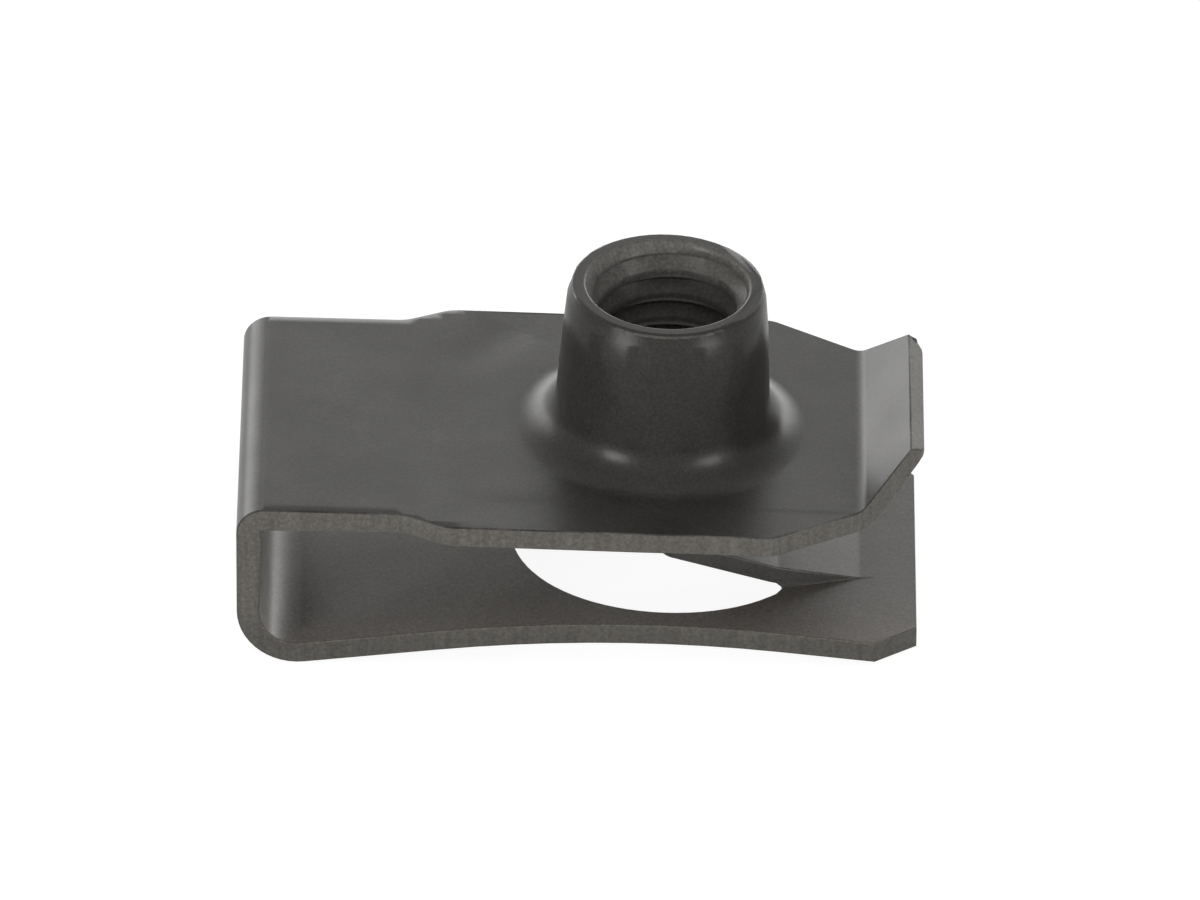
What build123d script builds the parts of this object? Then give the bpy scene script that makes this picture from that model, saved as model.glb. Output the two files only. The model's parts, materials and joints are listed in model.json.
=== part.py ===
"""U-shaped clip nut, extruded from one strip of spring steel, for an M6 screw.

The strip is folded into two legs. The upper leg carries a drawn and threaded barrel and a
turned-up lead-in lip. The lower leg is arched, and has a clearance hole with a horseshoe
tongue that stands up from it and snaps into the panel's hole. Lengths are in millimetres.
X runs along the clip from the fold to the open end, Y across it and Z up. The clip rests on
the plane Z = 0, and the origin is under the middle of its length.
"""

import os
from math import cos, radians, sin, sqrt, tan

from build123d import *

# Strip and overall size
sheet = 0.8
length = 24.4
fold_height = 6.47
heel_width = 12.8
plate_width = 14.35
lower_width = 12.8

# Fold
fold_top_radius = 1.0
fold_foot_radius = 2.15

# Upper leg, from the fold to the lip
heel_length = 6.3
heel_slope = 1.3
plate_slope = 1.8
heel_blend_radius = 30.0
shoulder_from_nut = 9.2
shoulder_run = 1.6
shoulder_radius = 1.4
nut_from_open = 9.35
corner_from_nut = 4.0
corner_angle = 31.0
corner_radius = 0.8
lip_bend_from_nut = 7.15
lip_angle = 47.0
lip_bend_radius = 0.6
lip_width = 6.8
lip_corner_radius = 0.7
lip_edge_round = 0.2

# Drawn barrel, bored to the minor diameter of an M6 x 1 thread
barrel_height = 5.95
bore_diameter = 5.0
mouth_diameter = 5.9
mouth_angle = 60.0
rim_diameter = 6.98
collar_height = 0.5
collar_step = 0.1
barrel_foot_diameter = 7.8
root_radius = 1.4
step_radius = 0.15
rim_round = 0.2
draw_radius = 0.9

# Lower leg
lower_setback = 0.2
arch_slope = 6.5
arch_radius = 54.0
end_chamfer_length = 1.5
end_chamfer_depth = 1.3
clearance_diameter = 11.0
clearance_past_nut = 0.15

# Horseshoe tongue, lanced out of the lower leg: a root at the open end, a crest and a raised tip
tongue_sheet = 0.65
tongue_root_from_nut = 7.4
tongue_bend_from_root = 0.2
tongue_crest_from_nut = 4.2
tongue_crest_height = 0.66
tongue_slope = 25.7
tongue_bend_radius = 1.5
tongue_root_width = 4.4
tongue_tip_width = 8.8
tongue_tip_radius = 0.4
tongue_bore_diameter = 6.8
tongue_past_nut = 0.1

# Round notches that end the clearance hole beside the tongue
notch_radius = 0.3
notch_spacing = 6.7

# Places along the clip
fold_x = -length / 2
open_x = length / 2
nut_x = open_x - nut_from_open
heel_end_x = fold_x + heel_length
lip_bend_x = nut_x + lip_bend_from_nut
lower_end_x = open_x - lower_setback
hole_x = nut_x + clearance_past_nut
middle_z = fold_height / 2

# Upper leg's top surface. The lip's rounded lower corner reaches the open end.
heel_fall = tan(radians(heel_slope))
plate_fall = tan(radians(plate_slope))
heel_end_z = fold_height - heel_length * heel_fall
nut_z = heel_end_z - (nut_x - heel_end_x) * plate_fall
lip_bend_z = heel_end_z - (lip_bend_x - heel_end_x) * plate_fall
lip = radians(lip_angle)
lip_end_x = open_x - sheet * sin(lip) + lip_edge_round * (sin(lip) + cos(lip) - 1)
lip_end_z = lip_bend_z + (lip_end_x - lip_bend_x) * tan(lip)

# The lower leg leaves the fold's foot at the arch slope, with the foot's lowest point at Z = 0
arch = radians(arch_slope)
foot_tangent_x = fold_x + fold_foot_radius * (1 + sin(arch))
foot_tangent_z = fold_foot_radius * (1 - cos(arch))
foot_corner_z = foot_tangent_z - (foot_tangent_x - fold_x) * tan(arch)
crown_x = (foot_tangent_x + lower_end_x) / 2 - foot_tangent_z / (2 * tan(arch))
crown_z = (lower_end_x - crown_x) * tan(arch)

# The nut's own plane lies on the upper leg, square to the thread
plate_tilt = radians(plate_slope)
plate_plane = Plane(
    origin=(nut_x, 0, nut_z),
    x_dir=(cos(plate_tilt), 0, -sin(plate_tilt)),
    z_dir=(sin(plate_tilt), 0, cos(plate_tilt)),
)
nut_section = Plane(origin=plate_plane.origin, x_dir=plate_plane.x_dir, z_dir=(0, -1, 0))
nut_axis = Axis(plate_plane.origin, plate_plane.z_dir)


# Each notch touches the hole's rim from inside
notch_x = hole_x + sqrt((clearance_diameter / 2 - notch_radius) ** 2 - (notch_spacing / 2) ** 2)


def lower_leg_top(x):
    """Height of the lower leg's top surface on its straight stretch at the open end."""
    return (lower_end_x - x) * tan(arch) + sheet / cos(arch)


# The tongue's strip starts level with the leg, and bends up just past its root
root_x = nut_x + tongue_root_from_nut
start_x = root_x + sheet
bend_x = root_x - tongue_bend_from_root
crest_x = nut_x + tongue_crest_from_nut
crest_z = lower_leg_top(crest_x) + tongue_crest_height
tip_x = nut_x - tongue_past_nut
tip_z = crest_z + (crest_x - tip_x) * tan(radians(tongue_slope))

# Plan of the tongue from its root to its tip, open towards the fold so that the screw passes
with BuildSketch() as tongue_plan:
    with BuildLine():
        half_tongue = FilletPolyline(
            (root_x, 0),
            (root_x, tongue_root_width / 2),
            (tip_x, tongue_tip_width / 2),
            (tip_x, 0),
            radius=(0, tongue_tip_radius),
        )
        mirror(half_tongue, about=Plane.XZ)
    make_face()
    with Locations((nut_x, 0)):
        Circle(tongue_bore_diameter / 2, mode=Mode.SUBTRACT)

with BuildPart() as tongue:
    with BuildSketch(Plane.XZ):
        with BuildLine():
            FilletPolyline(
                (start_x, lower_leg_top(start_x)),
                (bend_x, lower_leg_top(bend_x)),
                (crest_x, crest_z),
                (tip_x, tip_z),
                radius=tongue_bend_radius,
            )
            offset(amount=tongue_sheet, side=Side.LEFT)
        make_face()
    extrude(amount=plate_width / 2, both=True)
    with BuildSketch():
        add(tongue_plan.sketch)
        with Locations((root_x, 0)):
            Rectangle(sheet, tongue_root_width)
    extrude(amount=fold_height, mode=Mode.INTERSECT)

with BuildPart() as clip_nut:
    # Folded strip: its outer surface, given the sheet's thickness inwards
    with BuildSketch(Plane.XZ) as side_profile:
        with BuildLine():
            FilletPolyline(
                (lip_end_x, lip_end_z),
                (lip_bend_x, lip_bend_z),
                (heel_end_x, heel_end_z),
                (fold_x, fold_height),
                (fold_x, foot_corner_z),
                (crown_x, crown_z),
                (lower_end_x, 0),
                radius=(
                    lip_bend_radius,
                    heel_blend_radius,
                    fold_top_radius,
                    fold_foot_radius,
                    arch_radius,
                ),
            )
            offset(amount=sheet, side=Side.RIGHT)
        make_face()
        lip_end_corners = side_profile.vertices().sort_by(Axis.Y)[-2:]
        fillet(lip_end_corners, lip_edge_round)
    extrude(amount=plate_width / 2, both=True)

    # Upper leg's outline: narrow heel, wide plate, and corners cut back to the lip
    with BuildSketch(Plane.XY.offset(middle_z)):
        Rectangle(2 * length, 2 * plate_width)
        with BuildLine():
            shoulder_x = nut_x - shoulder_from_nut
            corner_x = nut_x + corner_from_nut
            bend_y = plate_width / 2 - (lip_bend_x - corner_x) * tan(radians(corner_angle))
            half_outline = FilletPolyline(
                (fold_x - sheet, 0),
                (fold_x - sheet, heel_width / 2),
                (shoulder_x, heel_width / 2),
                (shoulder_x + shoulder_run, plate_width / 2),
                (corner_x, plate_width / 2),
                (lip_bend_x, bend_y),
                (open_x, lip_width / 2),
                (open_x, 0),
                radius=(0, shoulder_radius, shoulder_radius, corner_radius, 0, lip_corner_radius),
            )
            mirror(half_outline, about=Plane.XZ)
        make_face(mode=Mode.SUBTRACT)
    extrude(amount=fold_height, mode=Mode.SUBTRACT)

    # Lower leg's outline, with the corners of its open end cut off
    with BuildSketch(Plane.XY.offset(middle_z)):
        Rectangle(2 * length, 2 * plate_width)
        with BuildSketch(mode=Mode.PRIVATE) as lower_outline:
            with Locations((lower_end_x - length, 0)):
                Rectangle(2 * length, lower_width)
            open_corners = lower_outline.vertices().group_by(Axis.X)[-1]
            chamfer(open_corners, end_chamfer_length, end_chamfer_depth)
        add(lower_outline.sketch, mode=Mode.SUBTRACT)
    extrude(amount=-fold_height, mode=Mode.SUBTRACT)

    # Clearance hole, which ends in the notches, and the cut that the tongue is lanced along
    with BuildSketch(Plane.XY.offset(middle_z)):
        with Locations((hole_x, 0)):
            Circle(clearance_diameter / 2)
        with BuildLine():
            far_x, far_y = 2 * notch_x - hole_x, notch_spacing
            half_root = Polyline((notch_x, 0), (notch_x, notch_spacing / 2), (far_x, far_y), (far_x, 0))
            mirror(half_root, about=Plane.XZ)
        make_face(mode=Mode.SUBTRACT)
        with Locations((notch_x, 0)):
            with GridLocations(0, notch_spacing, 1, 2):
                Circle(notch_radius)
        add(tongue_plan.sketch)
    extrude(amount=-fold_height, mode=Mode.SUBTRACT)
    add(tongue.part)

    # Barrel drawn up from the sheet, with a wide root and a stepped collar at its rim
    with BuildSketch(nut_section):
        with BuildLine():
            foot = barrel_foot_diameter / 2
            rim = rim_diameter / 2
            collar_base = barrel_height - collar_height
            FilletPolyline(
                (0, -sheet / 2),
                (foot + 2 * root_radius, -sheet / 2),
                (foot + 2 * root_radius, 0),
                (foot, 0),
                (rim + collar_step, collar_base - collar_step),
                (rim, collar_base),
                (rim, barrel_height),
                (0, barrel_height),
                close=True,
                radius=(0, 0, 0, root_radius, step_radius, step_radius, rim_round, 0),
            )
        make_face()
    revolve(axis=nut_axis)

    # Bore at the thread's minor diameter, countersunk at its mouth and drawn in underneath
    with Locations(plate_plane.offset(barrel_height)):
        CounterSinkHole(bore_diameter / 2, mouth_diameter / 2, barrel_height + 2 * sheet, mouth_angle)
    rings = clip_nut.edges().filter_by(GeomType.CIRCLE)
    bore_rings = rings.filter_by(lambda ring: ring.radius == bore_diameter / 2)
    fillet(bore_rings.sort_by(nut_axis)[0], draw_radius)

clip_nut.part.label = "clip_nut"
os.makedirs("parts", exist_ok=True)
export_step(clip_nut.part, "parts/clip_nut.step")
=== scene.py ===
"""Looks of the U-shaped clip nut: phosphated spring steel, a cut M6 x 1 thread and soft studio light."""

import json
import math

import bmesh
import bpy
from mathutils import Matrix, Vector


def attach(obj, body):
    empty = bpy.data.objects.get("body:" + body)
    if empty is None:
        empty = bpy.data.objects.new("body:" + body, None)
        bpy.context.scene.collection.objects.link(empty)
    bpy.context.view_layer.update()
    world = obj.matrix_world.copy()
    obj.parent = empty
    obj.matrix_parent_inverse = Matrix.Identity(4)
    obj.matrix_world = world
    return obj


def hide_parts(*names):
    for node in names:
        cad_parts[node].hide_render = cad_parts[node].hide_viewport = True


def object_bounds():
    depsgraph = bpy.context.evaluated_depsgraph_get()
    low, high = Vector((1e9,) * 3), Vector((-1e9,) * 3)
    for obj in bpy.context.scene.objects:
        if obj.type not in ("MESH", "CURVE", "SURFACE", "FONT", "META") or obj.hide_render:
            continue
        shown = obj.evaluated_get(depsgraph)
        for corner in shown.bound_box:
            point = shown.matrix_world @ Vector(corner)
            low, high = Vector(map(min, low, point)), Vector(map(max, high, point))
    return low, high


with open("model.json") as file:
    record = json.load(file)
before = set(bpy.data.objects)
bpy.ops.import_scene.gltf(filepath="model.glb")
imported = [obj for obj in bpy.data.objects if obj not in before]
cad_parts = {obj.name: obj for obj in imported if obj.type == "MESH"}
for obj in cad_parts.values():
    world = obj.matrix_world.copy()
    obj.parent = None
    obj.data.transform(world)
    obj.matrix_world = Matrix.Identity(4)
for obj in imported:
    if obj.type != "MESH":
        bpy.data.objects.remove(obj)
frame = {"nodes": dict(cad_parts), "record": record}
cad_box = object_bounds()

MM = 0.001

# Points this near become one, and edges this short are closed up once the thread is cut
WELD = 0.002 * MM
SLIVER = 0.012 * MM

# The nut's axis, from the record's bore, which starts this far above the upper leg:
# the axis's foot on that leg, and its direction up the barrel
BORE_START = 0.1 * MM
thread_mount = frame["record"]["mounts"][0]
AXIS_UP = -Vector(thread_mount["axis"])
AXIS_FOOT = Vector(thread_mount["pos_m"]) - AXIS_UP * BORE_START

# Thread, M6 x 1: its groove's sizes, its start along the axis, half the flat at its root as a
# share of the pitch, and the lean of its flanks
THREAD_SIZES = {
    "Pitch": 1.0 * MM,
    "Turns": 8.6,
    "Root radius": 2.93 * MM,
    "Inner radius": 2.32 * MM,
    "Steps": 72,
}
THREAD_START = -1.4 * MM
ROOT_HALF_FLAT = 0.0625
FLANK_LEAN = math.radians(30)

# Joined triangles count as flat up to this angle, and no edge is left shorter than this
FLAT_ANGLE = math.radians(0.4)
SHORTEST_EDGE = 0.045 * MM

# Broken edges of the sheared strip, and the slot that marks their faces until they are noted
EDGE_BREAK = 0.05 * MM
EDGE_BREAK_SEGMENTS = 2
EDGE_BREAK_ANGLE = math.radians(50)
BEVELLED = 1

# Shading: edges are sharp past this angle, and large faces lead by this weight
SHARP_ANGLE = math.radians(38)
LARGE_FACE_WEIGHT = 60

# Shallow ring that drawing the barrel leaves in the sheet round it, and the slices that carry it
RING_RADIUS = 7.9 * MM
RING_WIDTH = 0.9 * MM
RING_DEPTH = 0.045 * MM
SLICE = 0.4 * MM

# The upper leg lies above this height, and its broad faces are at least this level
UPPER_LEG_LOW = 4.6 * MM
BROAD_NORMAL_Z = 0.985

# Lower leg's arch: its crown's place, the radius over it, the slope that it ends at, and how
# closely a face has to follow it
ARCH_CROWN_X = 1.036 * MM
ARCH_RADIUS = 54.4 * MM
ARCH_SLOPE = math.radians(6.5)
ARCH_MATCH = math.cos(math.radians(1.5))

# Faces that run straight across the strip, how closely their corners are matched along it,
# and how far the barrel's root reaches
STRIP_NORMAL_Y = 0.01
PROFILE_STEP = 0.004 * MM
ROOT_REACH = 5.4 * MM

# Sheared faces stand upright outside the barrel, or end the lip. The fold's back isn't sheared,
# and the edges of the hole and the tongue in the lower leg aren't counted.
UPRIGHT_NORMAL_Z = 0.12
BARREL_REACH = 3.9 * MM
FOLD_END = cad_box[0].x + 1.0 * MM
FOLD_BACK_NORMAL_X = 0.9
OPEN_END = cad_box[1].x - 1.0 * MM
LIP_ANGLE = math.radians(47)
LIP_END_NORMAL = Vector((math.cos(LIP_ANGLE), 0, math.sin(LIP_ANGLE)))
LIP_END_MATCH = 0.97
INNER_HALF_WIDTH = 5.7 * MM

# Tapped faces lie wholly within this reach of the axis, and aren't square to it
THREAD_REACH = 3.02 * MM
SQUARE_TO_AXIS = 0.99

# Painted light: the sheltered faces get a lighter colour in place of the light that the throat lacks
# Sheltered faces look into the throat, towards a line at this height that starts at this place
THROAT_END = -9.5 * MM
THROAT_HEIGHT = 3.2 * MM
FACING = 0.35

# Camera at the photograph's place, with the pixel of the picture that shows the axis's foot
VIEW_AZIMUTH = math.radians(0.133)
VIEW_ELEVATION = math.radians(32.9)
VIEW_ROLL = math.radians(0.49)
VIEW_DISTANCE = 650 * MM
VIEW_NEAR = 50 * MM
VIEW_FAR = 20.0
PIXELS_PER_METRE = 28 / MM
PICTURE_SIZE = (1200, 900)
FOOT_PIXEL = (661.3, 424.5)
SENSOR_WIDTH = 36.0


def object_from(name, mesh):
    """A new object of the scene that holds the mesh."""
    made = bpy.data.objects.new(name, mesh)
    bpy.context.scene.collection.objects.link(made)
    return made


def settle(piece):
    """Turns the piece's modifiers into its plain mesh."""
    depsgraph = bpy.context.evaluated_depsgraph_get()
    evaluated = piece.evaluated_get(depsgraph)
    finished = bpy.data.meshes.new_from_object(
        evaluated,
        preserve_all_data_layers=True,
        depsgraph=depsgraph,
    )
    old = piece.data
    piece.modifiers.clear()
    piece.data = finished
    bpy.data.meshes.remove(old)


def feed(tree, socket, value):
    """Sets a socket to a number, or joins it to another node's result."""
    if isinstance(value, (int, float)):
        socket.default_value = value
    else:
        tree.links.new(value, socket)


def maths(tree, operation, first, second=0.0):
    """The result of one sum on numbers or on other nodes' results."""
    node = tree.nodes.new("ShaderNodeMath")
    node.operation = operation
    feed(tree, node.inputs[0], first)
    feed(tree, node.inputs[1], second)
    return node.outputs[0]


# Helical thread cutter


def thread_tree(material):
    """Nodes that wind a V-shaped bar along a helix, and the identifiers of their inputs."""
    tree = bpy.data.node_groups.new("helical_groove", "GeometryNodeTree")
    inputs = {}
    for name, size in THREAD_SIZES.items():
        kind = "NodeSocketInt" if isinstance(size, int) else "NodeSocketFloat"
        socket = tree.interface.new_socket(name=name, in_out="INPUT", socket_type=kind)
        socket.default_value = size
        inputs[name] = socket.identifier
    tree.interface.new_socket(name="Geometry", in_out="OUTPUT", socket_type="NodeSocketGeometry")
    nodes = tree.nodes
    links = tree.links
    given = nodes.new("NodeGroupInput").outputs
    result = nodes.new("NodeGroupOutput")

    spiral = nodes.new("GeometryNodeCurveSpiral")
    links.new(given["Steps"], spiral.inputs["Resolution"])
    links.new(given["Turns"], spiral.inputs["Rotations"])
    links.new(given["Inner radius"], spiral.inputs["Start Radius"])
    links.new(given["Inner radius"], spiral.inputs["End Radius"])
    links.new(maths(tree, "MULTIPLY", given["Pitch"], given["Turns"]), spiral.inputs["Height"])

    # Profile of the groove: wide at the bore's inside, narrow at the thread's root
    depth = maths(tree, "SUBTRACT", given["Root radius"], given["Inner radius"])
    outwards = maths(tree, "MULTIPLY", depth, -1.0)
    outer_half = maths(tree, "MULTIPLY", given["Pitch"], ROOT_HALF_FLAT)
    slant = maths(tree, "MULTIPLY", depth, math.tan(FLANK_LEAN))
    inner_half = maths(tree, "ADD", outer_half, slant)
    corners = nodes.new("GeometryNodeCurvePrimitiveQuadrilateral")
    corners.mode = "POINTS"

    def corner(index, x, y):
        """Puts one corner of the profile in its place."""
        point = nodes.new("ShaderNodeCombineXYZ")
        feed(tree, point.inputs["X"], x)
        feed(tree, point.inputs["Y"], y)
        links.new(point.outputs[0], corners.inputs[f"Point {index}"])

    corner(1, 0.0, inner_half)
    corner(2, outwards, outer_half)
    corner(3, outwards, maths(tree, "MULTIPLY", outer_half, -1.0))
    corner(4, 0.0, maths(tree, "MULTIPLY", inner_half, -1.0))

    upright = nodes.new("GeometryNodeSetCurveNormal")
    upright.mode = "Z_UP"
    links.new(spiral.outputs[0], upright.inputs["Curve"])
    bar = nodes.new("GeometryNodeCurveToMesh")
    links.new(upright.outputs[0], bar.inputs["Curve"])
    links.new(corners.outputs[0], bar.inputs["Profile Curve"])
    bar.inputs["Fill Caps"].default_value = True
    realize = nodes.new("GeometryNodeRealizeInstances")
    links.new(bar.outputs[0], realize.inputs[0])
    finish_set = nodes.new("GeometryNodeSetMaterial")
    finish_set.inputs["Material"].default_value = material
    links.new(realize.outputs[0], finish_set.inputs[0])
    links.new(finish_set.outputs[0], result.inputs[0])
    return tree, inputs


def thread_cutter(material):
    """The groove's mesh, stood up along the nut's axis."""
    tree, inputs = thread_tree(material)
    cutter = object_from("thread_cutter", bpy.data.meshes.new("thread_cutter"))
    modifier = cutter.modifiers.new("helix", "NODES")
    modifier.node_group = tree
    for name, size in THREAD_SIZES.items():
        modifier[inputs[name]] = size
    settle(cutter)
    lean = Vector((0, 0, 1)).rotation_difference(AXIS_UP).to_matrix().to_4x4()
    stand = Matrix.Translation(AXIS_FOOT + AXIS_UP * THREAD_START)
    cutter.data.transform(stand @ lean)
    return cutter


# Body of the clip


def merged_mesh(node):
    """A copy of the node's mesh with its triangles joined, and flat areas made one face."""
    bm = bmesh.new()
    bm.from_mesh(node.data)
    bmesh.ops.remove_doubles(bm, verts=bm.verts, dist=WELD)
    bmesh.ops.dissolve_limit(bm, angle_limit=FLAT_ANGLE, verts=bm.verts, edges=bm.edges)
    bmesh.ops.dissolve_degenerate(bm, edges=bm.edges, dist=SHORTEST_EDGE)
    mesh = bpy.data.meshes.new("clip_nut_body")
    bm.to_mesh(mesh)
    bm.free()
    return mesh


def bevel_edges(piece):
    """Breaks the strip's sharp edges, and marks the faces that this makes."""
    modifier = piece.modifiers.new("edge break", "BEVEL")
    modifier.width = EDGE_BREAK
    modifier.segments = EDGE_BREAK_SEGMENTS
    modifier.limit_method = "ANGLE"
    modifier.angle_limit = EDGE_BREAK_ANGLE
    modifier.use_clamp_overlap = False
    modifier.material = BEVELLED
    settle(piece)


def axis_distance(point):
    """How far a point is from the nut's axis."""
    offset = point - AXIS_FOOT
    return (offset - AXIS_UP * offset.dot(AXIS_UP)).length


def near_ring(centre):
    """Whether a place is on the upper leg, between the fold and the nut's axis."""
    return centre.z > UPPER_LEG_LOW and centre.x < AXIS_FOOT.x


def slice_faces(bm, direction, low, high):
    """Cuts the broad faces near the ring along parallel planes."""
    place = low + SLICE
    while place < high:
        level = [face for face in bm.faces if abs(face.normal.z) > BROAD_NORMAL_Z]
        broad = [face for face in level if near_ring(face.calc_center_median())]
        edges = {edge for face in broad for edge in face.edges}
        verts = {vert for face in broad for vert in face.verts}
        bmesh.ops.bisect_plane(
            bm,
            geom=[*broad, *edges, *verts],
            dist=WELD,
            plane_co=direction * place,
            plane_no=direction,
        )
        place += SLICE


def draw_ring(piece):
    """Slices the upper leg's broad faces, and sinks a shallow ring round the barrel on the fold's side."""
    bm = bmesh.new()
    bm.from_mesh(piece.data)
    slice_faces(bm, Vector((1, 0, 0)), cad_box[0].x, AXIS_FOOT.x)
    slice_faces(bm, Vector((0, 1, 0)), cad_box[0].y, cad_box[1].y)
    for vert in bm.verts:
        if vert.co.z < UPPER_LEG_LOW or vert.co.x > AXIS_FOOT.x:
            continue
        from_ring = (axis_distance(vert.co) - RING_RADIUS) / RING_WIDTH
        vert.co -= AXIS_UP * RING_DEPTH * math.exp(-from_ring * from_ring)
    bm.to_mesh(piece.data)
    bm.free()


def cut_thread(piece, cutter):
    """Cuts the groove into the bore, and closes up the slivers that this leaves outside the thread."""
    modifier = piece.modifiers.new("thread", "BOOLEAN")
    modifier.operation = "DIFFERENCE"
    modifier.solver = "EXACT"
    modifier.object = cutter
    settle(piece)
    bpy.data.objects.remove(cutter)
    bm = bmesh.new()
    bm.from_mesh(piece.data)
    bmesh.ops.remove_doubles(bm, verts=bm.verts, dist=WELD)
    bmesh.ops.dissolve_degenerate(bm, edges=bm.edges, dist=WELD)
    outer = [edge for edge in bm.edges if all(axis_distance(vert.co) > THREAD_REACH for vert in edge.verts)]
    bmesh.ops.dissolve_degenerate(bm, edges=outer, dist=SLIVER)
    bm.to_mesh(piece.data)
    bm.free()


def mark_faces(piece):
    """Notes which faces are sheared, cut by the tap, rubbed or sheltered, for the finish to read."""
    mesh = piece.data
    notes = {"sheared": [], "tapped": [], "rubbed": [], "sheltered": []}
    for face in mesh.polygons:
        centre = face.center
        normal = face.normal
        reach = axis_distance(centre)
        furthest = max(axis_distance(mesh.vertices[index].co) for index in face.vertices)
        upright = abs(normal.z) < UPRIGHT_NORMAL_Z and reach > BARREL_REACH
        fold_back = abs(normal.x) > FOLD_BACK_NORMAL_X and centre.x < FOLD_END
        lip_end = normal.dot(LIP_END_NORMAL) > LIP_END_MATCH and centre.x > OPEN_END
        lower_inside = centre.z < UPPER_LEG_LOW and abs(centre.y) < INNER_HALF_WIDTH
        lanced = lower_inside and centre.x < OPEN_END
        into_throat = Vector((max(THROAT_END - centre.x, 0), 0, THROAT_HEIGHT - centre.z)).normalized()
        notes["sheared"].append(float((upright and not fold_back and not lanced) or lip_end))
        notes["tapped"].append(float(furthest < THREAD_REACH and abs(normal.dot(AXIS_UP)) < SQUARE_TO_AXIS))
        notes["rubbed"].append(float(face.material_index == BEVELLED))
        # Sheltered faces are painted lighter by the finish: painted light for the shaded throat
        notes["sheltered"].append(float(normal.dot(into_throat) > FACING and reach > BARREL_REACH))
        face.material_index = 0
    for name, values in notes.items():
        mesh.attributes.new(name, "FLOAT", "FACE").data.foreach_set("value", values)


def smooth(piece):
    """Shades the piece smooth between its sharp edges, led by its large faces."""
    piece.data.shade_smooth()
    piece.data.set_sharp_from_angle(angle=SHARP_ANGLE)
    modifier = piece.modifiers.new("even normals", "WEIGHTED_NORMAL")
    modifier.keep_sharp = True
    modifier.weight = LARGE_FACE_WEIGHT
    settle(piece)


def arch_normal(x):
    """Direction square to the lower leg at a place along the clip."""
    slope = math.asin(max(-1.0, min(1.0, (x - ARCH_CROWN_X) / ARCH_RADIUS)))
    slope = max(-ARCH_SLOPE, min(ARCH_SLOPE, slope))
    return Vector((math.sin(slope), 0, math.cos(slope)))


def even_strip(piece):
    """Turns the normals of the strip's faces only with its bends and the lower leg's true arc."""
    mesh = piece.data
    normals = [corner.vector.copy() for corner in mesh.corner_normals]

    def profile_point(index):
        """A vertex's place in the strip's profile, in whole steps."""
        place = mesh.vertices[index].co
        return round(place.x / PROFILE_STEP), round(place.z / PROFILE_STEP)

    turning = {}
    strip = [face for face in mesh.polygons if abs(face.normal.y) < STRIP_NORMAL_Y]
    for face in strip:
        along = Vector((face.normal.z, 0, -face.normal.x))
        places = [along.dot(mesh.vertices[index].co) for index in face.vertices]
        share = face.normal * (max(places) - min(places))
        for point in {profile_point(index) for index in face.vertices}:
            turning[point] = turning.get(point, Vector((0, 0, 0))) + share
    for face in strip:
        broad = abs(face.normal.z) > BROAD_NORMAL_Z
        if face.center.z > UPPER_LEG_LOW and (broad or axis_distance(face.center) < ROOT_REACH):
            continue
        for corner in face.loop_indices:
            normals[corner] = turning[profile_point(mesh.loops[corner].vertex_index)].normalized()
    for face in mesh.polygons:
        facing = face.normal.dot(arch_normal(face.center.x))
        if face.center.z > UPPER_LEG_LOW or abs(facing) < ARCH_MATCH:
            continue
        for corner in face.loop_indices:
            place = mesh.vertices[mesh.loops[corner].vertex_index].co
            normals[corner] = arch_normal(place.x) * math.copysign(1, facing)
    mesh.normals_split_custom_set(normals)


# Finish of the steel

# Patterns: how fine they are, how many layers of finer detail they have, and how strong those are.
# The streaks of sheared and tapped faces are drawn out along Z.
CLOUDS = (420.0, 3.0, 0.55)
CRYSTALS = (9000.0, 2.0, 0.6)
SMEARS = (260.0, 4.0, 0.6)
STREAKS = (5200.0, 2.0, 0.5)
STREAK_SCALE = (1, 1, 0.06)

# Colours of the steel, from the darker to the lighter places of a pattern
COATED = (
    (0.30, (0.030, 0.0293, 0.0283)),
    (0.55, (0.0365, 0.0356, 0.0342)),
    (0.75, (0.044, 0.0428, 0.041)),
)
# Painted light: sheltered faces in the throat are lighter than the coating, in place of the light they lack
THROAT_PAINTED_LIGHT = ((0.30, (0.074, 0.068, 0.062)), (0.70, (0.090, 0.083, 0.075)))
# Barrel: darker, partly its burnished skin and partly painted shade
POLISHED_AND_SHADED = ((0.30, (0.021, 0.0202, 0.0188)), (0.70, (0.028, 0.027, 0.0252)))
TORN = ((0.30, (0.073, 0.069, 0.062)), (0.70, (0.096, 0.091, 0.082)))
# Cut thread: lighter, partly its bare cut steel and partly painted light in the bore
CUT_WITH_PAINTED_LIGHT = ((0.30, (0.100, 0.095, 0.089)), (0.70, (0.132, 0.126, 0.118)))
BARE = ((0.35, (0.055, 0.053, 0.050)), (0.65, (0.100, 0.096, 0.089)))
GRAIN = ((0.30, (0.74, 0.74, 0.74)), (0.72, (1.26, 1.25, 1.24)))

# Barrel and root, burnished and darker, partly painted shade: above the upper leg, fading over this ring
LEG_TOP = (AXIS_FOOT.z - 0.2 * MM, AXIS_FOOT.z)
BURNISHED_RING = (4.3 * MM, 5.6 * MM)

# Outside the barrel, from this ring on, rubbed edges are dulled
BARREL_RING = (3.6 * MM, 4.2 * MM)

# Sheltered faces: painted light, growing towards the front edge. Torn faces: painted shade towards the
# floor
FRONT_PLACES = (-2.5 * MM, -6.2 * MM)
FRONT_PAINTED_LIGHT = (1.0, 1.5)
FOOT_HEIGHTS = (1.0 * MM, 2.4 * MM)
FOOT_PAINTED_SHADE = (0.76, 1.0)

# Share of a rubbed edge that is bare, between the pattern's darker and lighter places
BARE_PLACES = (0.35, 0.65)
BARE_SHARES = (0.1, 0.9)

# Oil film: its roughness over the smears, what sheared faces add to that, its index and its tint
FILM_PLACES = (0.25, 0.75)
FILM_ROUGHNESS = (0.28, 0.36)
SHEARED_ROUGHNESS = 0.16
FILM_INDEX = 1.34
FILM_TINT = (0.97, 0.945, 0.905, 1)

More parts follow.
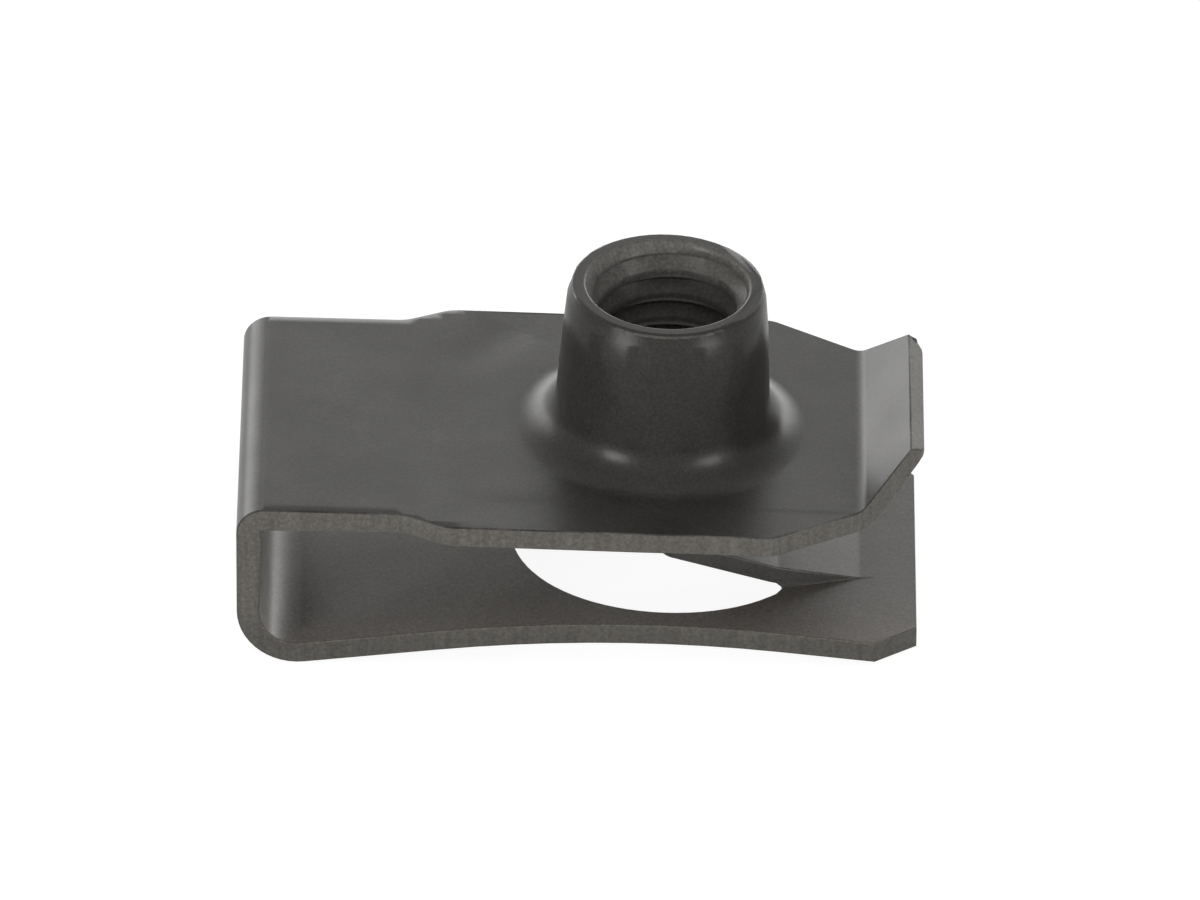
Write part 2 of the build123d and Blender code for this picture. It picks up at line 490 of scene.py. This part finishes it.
# Level of the reflection, what burnished and rubbed places take from it, and the least of it
GLOSS = 0.5
GLOSS_BURNISHED = -0.18
GLOSS_RUBBED = -0.34
GLOSS_LEAST = 0.1

# Strength and depth of the relief that the crystals and the clouds give the surface
CRYSTAL_RELIEF = (0.30, 0.006 * MM)
CLOUD_RELIEF = (0.5, 0.02 * MM)


def noise(tree, place, scale, detail, roughness):
    """A cloudy pattern."""
    node = tree.nodes.new("ShaderNodeTexNoise")
    node.inputs["Scale"].default_value = scale
    node.inputs["Detail"].default_value = detail
    node.inputs["Roughness"].default_value = roughness
    tree.links.new(place, node.inputs["Vector"])
    return node.outputs["Fac"]


def ramp(tree, factor, stops):
    """Colours along a pattern, from stops of place and colour."""
    node = tree.nodes.new("ShaderNodeValToRGB")
    tree.links.new(factor, node.inputs["Fac"])
    while len(node.color_ramp.elements) < len(stops):
        node.color_ramp.elements.new(0.5)
    for element, (position, colour) in zip(node.color_ramp.elements, stops):
        element.position = position
        element.color = (*colour, 1)
    return node.outputs["Color"]


def spread(tree, value, old, new):
    """Turns one range of a value into another, and holds it at their ends."""
    node = tree.nodes.new("ShaderNodeMapRange")
    tree.links.new(value, node.inputs["Value"])
    for name, number in zip(("From Min", "From Max", "To Min", "To Max"), (*old, *new)):
        node.inputs[name].default_value = number
    return node.outputs["Result"]


def mixed(tree, kind, factor, first, second):
    """Two colours put together."""
    node = tree.nodes.new("ShaderNodeMix")
    node.data_type = "RGBA"
    node.blend_type = kind
    feed(tree, node.inputs[0], factor)
    feed(tree, node.inputs[6], first)
    feed(tree, node.inputs[7], second)
    return node.outputs[2]


def relief(tree, height, strength, distance):
    """A bump node over a pattern."""
    node = tree.nodes.new("ShaderNodeBump")
    node.inputs["Strength"].default_value = strength
    node.inputs["Distance"].default_value = distance
    tree.links.new(height, node.inputs["Height"])
    return node


def face_note(tree, name):
    """A note that mark_faces left on the faces."""
    node = tree.nodes.new("ShaderNodeAttribute")
    node.attribute_name = name
    return node.outputs["Fac"]


def black_steel():
    """Phosphated and oiled spring steel: near-black crystals, a thin oil film and rubbed edges."""
    finish = bpy.data.materials.new("black_phosphate_steel")
    finish.use_nodes = True
    tree = finish.node_tree
    links = tree.links
    surface = tree.nodes["Principled BSDF"]
    place = tree.nodes.new("ShaderNodeTexCoord").outputs["Object"]
    sheared = face_note(tree, "sheared")
    tapped = face_note(tree, "tapped")
    rubbed = face_note(tree, "rubbed")
    sheltered = face_note(tree, "sheltered")

    # Parts of the surface by their place
    separate = tree.nodes.new("ShaderNodeSeparateXYZ")
    links.new(place, separate.inputs[0])
    along = maths(tree, "SUBTRACT", separate.outputs["X"], AXIS_FOOT.x)
    across = separate.outputs["Y"]
    height = separate.outputs["Z"]
    along_squared = maths(tree, "MULTIPLY", along, along)
    across_squared = maths(tree, "MULTIPLY", across, across)
    from_axis = maths(tree, "SQRT", maths(tree, "ADD", along_squared, across_squared))
    above_leg = spread(tree, height, LEG_TOP, (0.0, 1.0))
    near_barrel = spread(tree, from_axis, BURNISHED_RING, (1.0, 0.0))
    burnished_and_shaded = maths(tree, "MULTIPLY", above_leg, near_barrel)
    off_barrel = spread(tree, from_axis, BARREL_RING, (0.0, 1.0))
    # Painted light on sheltered faces, growing towards the front edge
    front_painted_light = spread(tree, across, FRONT_PLACES, FRONT_PAINTED_LIGHT)
    # Painted shade on torn faces near the floor
    floor_painted_shade = spread(tree, height, FOOT_HEIGHTS, FOOT_PAINTED_SHADE)

    # Patterns
    clouds = noise(tree, place, *CLOUDS)
    crystals = noise(tree, place, *CRYSTALS)
    smears = noise(tree, place, *SMEARS)
    drawn = tree.nodes.new("ShaderNodeMapping")
    drawn.inputs["Scale"].default_value = STREAK_SCALE
    links.new(place, drawn.inputs["Vector"])
    streaks = noise(tree, drawn.outputs[0], *STREAKS)

    # Colour: the coating, and over it painted light, a burnish partly painted shade, torn, cut or rubbed
    # bare
    # Painted light in the throat, stronger towards the front edge
    throat_painted_light = mixed(tree, "MULTIPLY", 1.0, ramp(tree, clouds, THROAT_PAINTED_LIGHT), front_painted_light)
    # Torn faces, with painted shade towards the floor
    torn = mixed(tree, "MULTIPLY", 1.0, ramp(tree, streaks, TORN), floor_painted_shade)
    bared = maths(tree, "MULTIPLY", rubbed, spread(tree, clouds, BARE_PLACES, BARE_SHARES))
    tone = mixed(tree, "MIX", sheltered, ramp(tree, clouds, COATED), throat_painted_light)
    # The barrel's darker colour: its burnish and painted shade
    tone = mixed(tree, "MIX", burnished_and_shaded, tone, ramp(tree, clouds, POLISHED_AND_SHADED))
    tone = mixed(tree, "MIX", sheared, tone, torn)
    # Cut thread: bare steel with painted light in the bore
    tone = mixed(tree, "MIX", tapped, tone, ramp(tree, streaks, CUT_WITH_PAINTED_LIGHT))
    tone = mixed(tree, "MIX", bared, tone, ramp(tree, clouds, BARE))
    grain = ramp(tree, crystals, GRAIN)
    links.new(mixed(tree, "MULTIPLY", 1.0, tone, grain), surface.inputs["Base Color"])

    # Gloss of the oil film
    film = spread(tree, smears, FILM_PLACES, FILM_ROUGHNESS)
    roughened = maths(tree, "MULTIPLY", sheared, SHEARED_ROUGHNESS)
    links.new(maths(tree, "ADD", film, roughened), surface.inputs["Roughness"])
    rubbed_strip = maths(tree, "MULTIPLY", rubbed, off_barrel)
    from_burnish = maths(tree, "MULTIPLY", burnished_and_shaded, GLOSS_BURNISHED)
    from_rubbing = maths(tree, "MULTIPLY", rubbed_strip, GLOSS_RUBBED)
    dulled = maths(tree, "ADD", from_burnish, from_rubbing)
    gloss = maths(tree, "MAXIMUM", maths(tree, "ADD", dulled, GLOSS), GLOSS_LEAST)
    links.new(gloss, surface.inputs["Specular IOR Level"])
    surface.inputs["Metallic"].default_value = 0.0
    surface.inputs["IOR"].default_value = FILM_INDEX
    surface.inputs["Specular Tint"].default_value = FILM_TINT

    # Relief
    ripple = relief(tree, clouds, *CLOUD_RELIEF)
    bump = relief(tree, crystals, *CRYSTAL_RELIEF)
    links.new(ripple.outputs["Normal"], bump.inputs["Normal"])
    links.new(bump.outputs["Normal"], surface.inputs["Normal"])
    return finish


# Studio

# Floor: its colour for the light that falls on things, the colour and the glow that are seen,
# how far it reaches each way, and its gap under the clip
FLOOR_COLOUR = (0.86, 0.86, 0.86, 1)
FLOOR_SHADED = (0.22, 0.22, 0.22, 1)
FLOOR_GLOW = 0.90
FLOOR_REACH = 2.0
FLOOR_GAP = 0.01 * MM

# Strength of the room's light on things, and as it is seen
ROOM_LIGHT = (0.45, 1.0)

# Softboxes: centre, width and height in metres, and radiance. All of them face one point.
SOFTBOXES = {
    "top_softbox": ((0.0, 0.0, 0.30), 0.40, 0.36, 0.10),
    "back_softbox": ((-0.05, 0.42, 0.06), 0.90, 0.26, 3.2),
    "left_softbox": ((-0.34, -0.34, 0.09), 0.16, 0.18, 16.0),
    "right_softbox": ((0.36, -0.32, 0.09), 0.16, 0.18, 11.0),
}
LIT_POINT = (0, 0, 0.005)


def seen_directly(tree):
    """One for a ray from the camera, a gloss or a glass, and nought for the light on things."""
    path = tree.nodes.new("ShaderNodeLightPath").outputs
    seen = maths(tree, "MAXIMUM", path["Is Camera Ray"], path["Is Glossy Ray"])
    return maths(tree, "MAXIMUM", seen, path["Is Transmission Ray"])


def studio_floor():
    """Pale floor that shows white, with the clip's shadow on it."""
    finish = bpy.data.materials.new("pale_floor")
    finish.use_nodes = True
    tree = finish.node_tree
    nodes = tree.nodes
    links = tree.links
    nodes.clear()
    output = nodes.new("ShaderNodeOutputMaterial")
    matt = nodes.new("ShaderNodeBsdfDiffuse")
    matt.inputs["Color"].default_value = FLOOR_COLOUR
    shaded = nodes.new("ShaderNodeBsdfDiffuse")
    shaded.inputs["Color"].default_value = FLOOR_SHADED
    glow = nodes.new("ShaderNodeEmission")
    glow.inputs["Strength"].default_value = FLOOR_GLOW
    shown = nodes.new("ShaderNodeAddShader")
    links.new(shaded.outputs[0], shown.inputs[0])
    links.new(glow.outputs[0], shown.inputs[1])
    choice = nodes.new("ShaderNodeMixShader")
    links.new(seen_directly(tree), choice.inputs["Fac"])
    links.new(matt.outputs[0], choice.inputs[1])
    links.new(shown.outputs[0], choice.inputs[2])
    links.new(choice.outputs[0], output.inputs["Surface"])
    return finish


def surroundings():
    """White room that is seen brighter than it lights."""
    world = bpy.data.worlds.new("white_room")
    world.use_nodes = True
    tree = world.node_tree
    background = tree.nodes["Background"]
    background.inputs["Color"].default_value = (1, 1, 1, 1)
    strength = spread(tree, seen_directly(tree), (0.0, 1.0), ROOM_LIGHT)
    tree.links.new(strength, background.inputs["Strength"])
    bpy.context.scene.world = world


def softbox(name, centre, width, height, radiance):
    """A flat lamp that faces the lit point and glows evenly with the given radiance."""
    data = bpy.data.lights.new(name, "AREA")
    data.shape = "RECTANGLE"
    data.size = width
    data.size_y = height
    data.energy = radiance * math.pi * width * height
    lamp = bpy.data.objects.new(name, data)
    lamp.location = centre
    lamp.rotation_euler = (Vector(LIT_POINT) - Vector(centre)).to_track_quat("-Z", "Y").to_euler()
    lamp.visible_camera = False
    bpy.context.scene.collection.objects.link(lamp)


def set_camera():
    """Camera at the photograph's place, turned so that the axis's foot shows at its pixel."""
    right = Vector((math.cos(VIEW_AZIMUTH), -math.sin(VIEW_AZIMUTH), 0))
    ahead = Vector((math.sin(VIEW_AZIMUTH), math.cos(VIEW_AZIMUTH), 0))
    upright = Vector((0, 0, 1))
    look = ahead * math.cos(VIEW_ELEVATION) - upright * math.sin(VIEW_ELEVATION)
    up = ahead * math.sin(VIEW_ELEVATION) + upright * math.cos(VIEW_ELEVATION)
    eye = AXIS_FOOT - look * VIEW_DISTANCE
    turned_right = right * math.cos(VIEW_ROLL) + up * math.sin(VIEW_ROLL)
    turned_up = up * math.cos(VIEW_ROLL) - right * math.sin(VIEW_ROLL)
    across = (PICTURE_SIZE[0] / 2 - FOOT_PIXEL[0]) / PIXELS_PER_METRE
    down = (PICTURE_SIZE[1] / 2 - FOOT_PIXEL[1]) / PIXELS_PER_METRE
    aim = AXIS_FOOT + turned_right * across - turned_up * down

    backwards = (eye - aim).normalized()
    side = turned_up.cross(backwards).normalized()
    data = bpy.data.cameras.new("photo_view")
    data.sensor_width = SENSOR_WIDTH
    data.lens = PIXELS_PER_METRE * VIEW_DISTANCE * SENSOR_WIDTH / PICTURE_SIZE[0]
    data.clip_start = VIEW_NEAR
    data.clip_end = VIEW_FAR
    camera = bpy.data.objects.new("photo_view", data)
    bpy.context.scene.collection.objects.link(camera)
    turn = Matrix((side, backwards.cross(side), backwards)).transposed()
    camera.matrix_world = Matrix.Translation(eye) @ turn.to_4x4()
    bpy.context.scene.camera = camera


# The scene. The body holds the steel twice until its broken edges are noted.

steel = black_steel()
body = object_from("clip_nut_body", merged_mesh(frame["nodes"]["clip_nut"]))
body.data.materials.append(steel)
body.data.materials.append(steel)
bevel_edges(body)
draw_ring(body)
cut_thread(body, thread_cutter(steel))
mark_faces(body)
smooth(body)
even_strip(body)
body.data.materials.pop(index=BEVELLED)
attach(body, "root")
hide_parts("clip_nut")

low, high = -FLOOR_REACH, FLOOR_REACH
floor_mesh = bpy.data.meshes.new("floor")
floor_mesh.from_pydata([(low, low, 0), (high, low, 0), (high, high, 0), (low, high, 0)], [], [(0, 1, 2, 3)])
floor_mesh.materials.append(studio_floor())
floor = object_from("floor", floor_mesh)
floor.location.z = cad_box[0].z - FLOOR_GAP

surroundings()
for name, sizes in SOFTBOXES.items():
    softbox(name, *sizes)
set_camera()
bpy.context.scene.view_settings.view_transform = "Standard"
